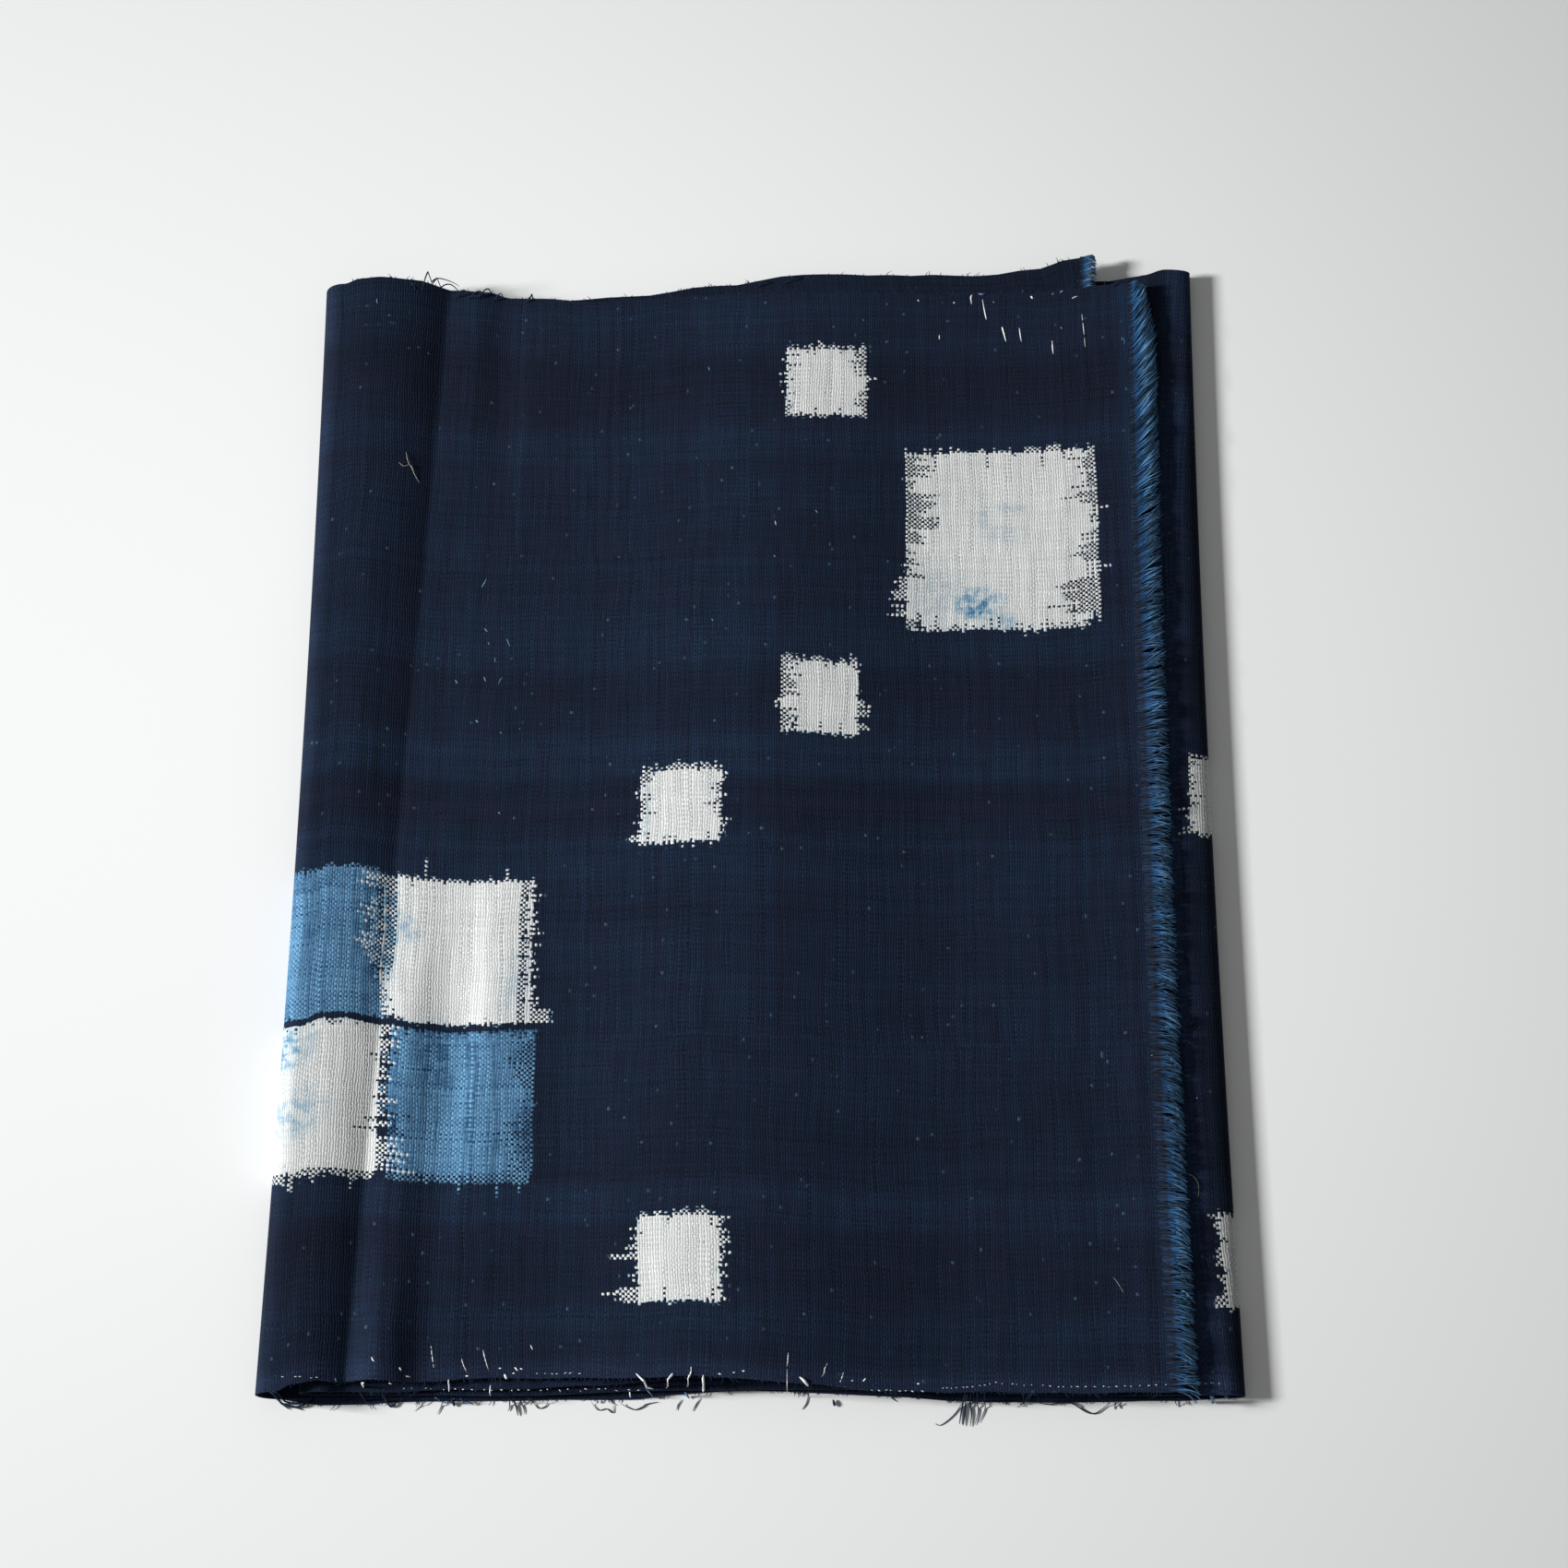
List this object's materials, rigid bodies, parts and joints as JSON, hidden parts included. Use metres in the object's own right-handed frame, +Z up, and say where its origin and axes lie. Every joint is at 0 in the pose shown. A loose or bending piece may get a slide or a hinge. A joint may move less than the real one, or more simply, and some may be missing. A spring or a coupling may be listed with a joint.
{
  "type": "folded kasuri cloth",
  "caption": "Narrow-loom indigo cotton length folded in half twice, with a soft roll at one side, a fold at the other and two frayed cut ends.",
  "frame": {"origin": "middle of the folded cloth's box, on the surface it lies on", "axes": "+Z up, +Y along the folds towards the far selvedge, +X towards the side where both cuts lie"},
  "size_m": [0.2569, 0.3386, 0.0131],
  "materials": {
    "indigo_cotton": "matt plain weave",
    "faded_warp": "matt frayed yarn"
  },
  "bodies": {
    "root": {"cloth": "indigo_cotton", "fringe_top": "faded_warp", "fringe_inner": "faded_warp"}
  },
  "joints": []
}
